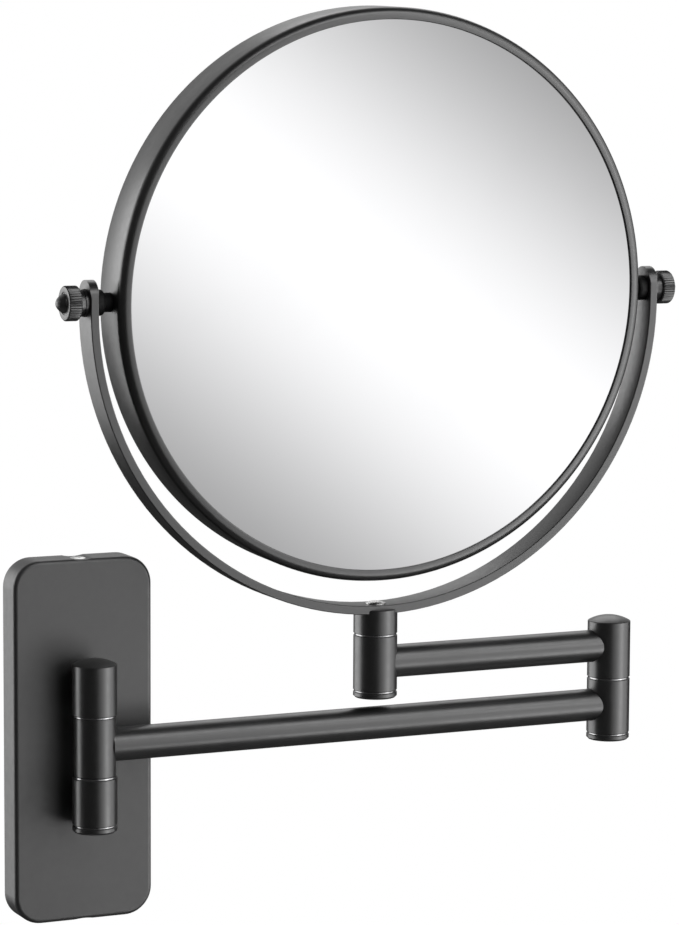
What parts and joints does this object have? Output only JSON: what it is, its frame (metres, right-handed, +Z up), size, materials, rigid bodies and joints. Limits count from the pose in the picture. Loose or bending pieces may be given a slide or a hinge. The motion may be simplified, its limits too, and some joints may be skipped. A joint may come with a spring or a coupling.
{
  "type": "extendable shaving mirror",
  "caption": "Wall-mounted, double-sided round mirror in a half-ring yoke on two folding tube arms, with knurled thumb knobs and a rounded wall plate.",
  "frame": {"origin": "centre of the face that lies on the wall, level with the long arm's axis", "axes": "+Z up; +Y into the wall; +X along the folded long arm, from the wall plate towards the elbow; the mirror faces -Y"},
  "size_m": [0.258, 0.0352, 0.3243],
  "materials": {
    "black_enamel": "satin black enamel on steel and brass",
    "zinc_steel": "zinc-plated sheet steel",
    "bright_screw": "bright nickel-plated screws",
    "steel_pin": "turned steel",
    "bearing_washer": "thin blackened steel washers with a bright edge",
    "mirror_glass": "silvered glass, one flat and one concave",
    "spacer_plastic": "moulded ring",
    "backing_foam": "grey backing sheet"
  },
  "bodies": {
    "wall_mount": {"wall_bracket": "zinc_steel", "bracket_set_screws": "bright_screw", "wall_cover": "black_enamel", "cover_stiffener": "zinc_steel", "stub_screws": "bright_screw", "wall_stub_upper": "black_enamel", "wall_stub_lower": "black_enamel", "wall_knuckle_upper": "black_enamel", "wall_knuckle_lower": "black_enamel", "wall_pin": "steel_pin", "wall_washers": "bearing_washer", "wall_cap_washer": "bearing_washer", "wall_end_cap": "black_enamel"},
    "long_arm": {"long_arm_wall_sleeve": "black_enamel", "long_arm_tube": "black_enamel", "long_arm_elbow_knuckle": "black_enamel"},
    "short_arm": {"short_arm_elbow_knuckle": "black_enamel", "short_arm_tube": "black_enamel", "short_arm_head_knuckle": "black_enamel", "elbow_pin": "steel_pin", "elbow_washer": "bearing_washer", "elbow_cap_washer": "bearing_washer", "elbow_end_cap": "black_enamel"},
    "yoke": {"yoke_strip": "black_enamel", "yoke_post": "black_enamel", "yoke_screw": "bright_screw", "head_pin": "steel_pin", "head_washer": "bearing_washer", "head_cap_washer": "bearing_washer", "head_end_cap": "black_enamel"},
    "mirror_head": {"mirror_frame": "black_enamel", "rear_bezel": "black_enamel", "front_mirror": "mirror_glass", "rear_mirror": "mirror_glass", "mirror_spacer": "spacer_plastic", "mirror_backing": "backing_foam", "pivot_block_left": "steel_pin", "pivot_block_right": "steel_pin", "pivot_stud_left": "steel_pin", "pivot_stud_right": "steel_pin", "pivot_collar_left": "black_enamel", "pivot_collar_right": "black_enamel"},
    "left_knob_washer": {"knob_washer_left": "black_enamel"},
    "left_knob": {"knob_left": "black_enamel"},
    "right_knob_washer": {"knob_washer_right": "black_enamel"},
    "right_knob": {"knob_right": "black_enamel"}
  },
  "joints": [
    {"name": "wall_swing", "type": "hinge", "parent": "wall_mount", "child": "long_arm", "pos_m": [0, -0.022, 0], "axis": [0, 0, -1], "range_deg": [0, 180]},
    {"name": "elbow_swing", "type": "hinge", "parent": "long_arm", "child": "short_arm", "pos_m": [0.206, -0.022, 0.0223], "axis": [0, 0, 1], "range_deg": [-180, 180]},
    {"name": "head_swivel", "type": "hinge", "parent": "short_arm", "child": "yoke", "pos_m": [0.109, -0.022, 0.033], "axis": [0, 0, 1], "continuous": true},
    {"name": "mirror_tilt", "type": "hinge", "parent": "yoke", "child": "mirror_head", "pos_m": [0.109, -0.022, 0.1561], "axis": [1, 0, 0], "continuous": true},
    {"name": "left_knob_travel", "type": "slide", "parent": "mirror_head", "child": "left_knob_washer", "axis": [-1, 0, 0], "range_m": [0, 0.0007]},
    {"name": "left_knob_turn", "type": "hinge", "parent": "left_knob_washer", "child": "left_knob", "pos_m": [-0.006, -0.022, 0.1561], "axis": [-1, 0, 0], "range_deg": [0, 362]},
    {"name": "right_knob_travel", "type": "slide", "parent": "mirror_head", "child": "right_knob_washer", "axis": [1, 0, 0], "range_m": [0, 0.0007]},
    {"name": "right_knob_turn", "type": "hinge", "parent": "right_knob_washer", "child": "right_knob", "pos_m": [0.224, -0.022, 0.1561], "axis": [1, 0, 0], "range_deg": [0, 362]}
  ],
  "couplings": [
    {"joint": "left_knob_turn", "follows": "left_knob_travel", "rad_per_m": 8976},
    {"joint": "right_knob_turn", "follows": "right_knob_travel", "rad_per_m": 8976}
  ]
}
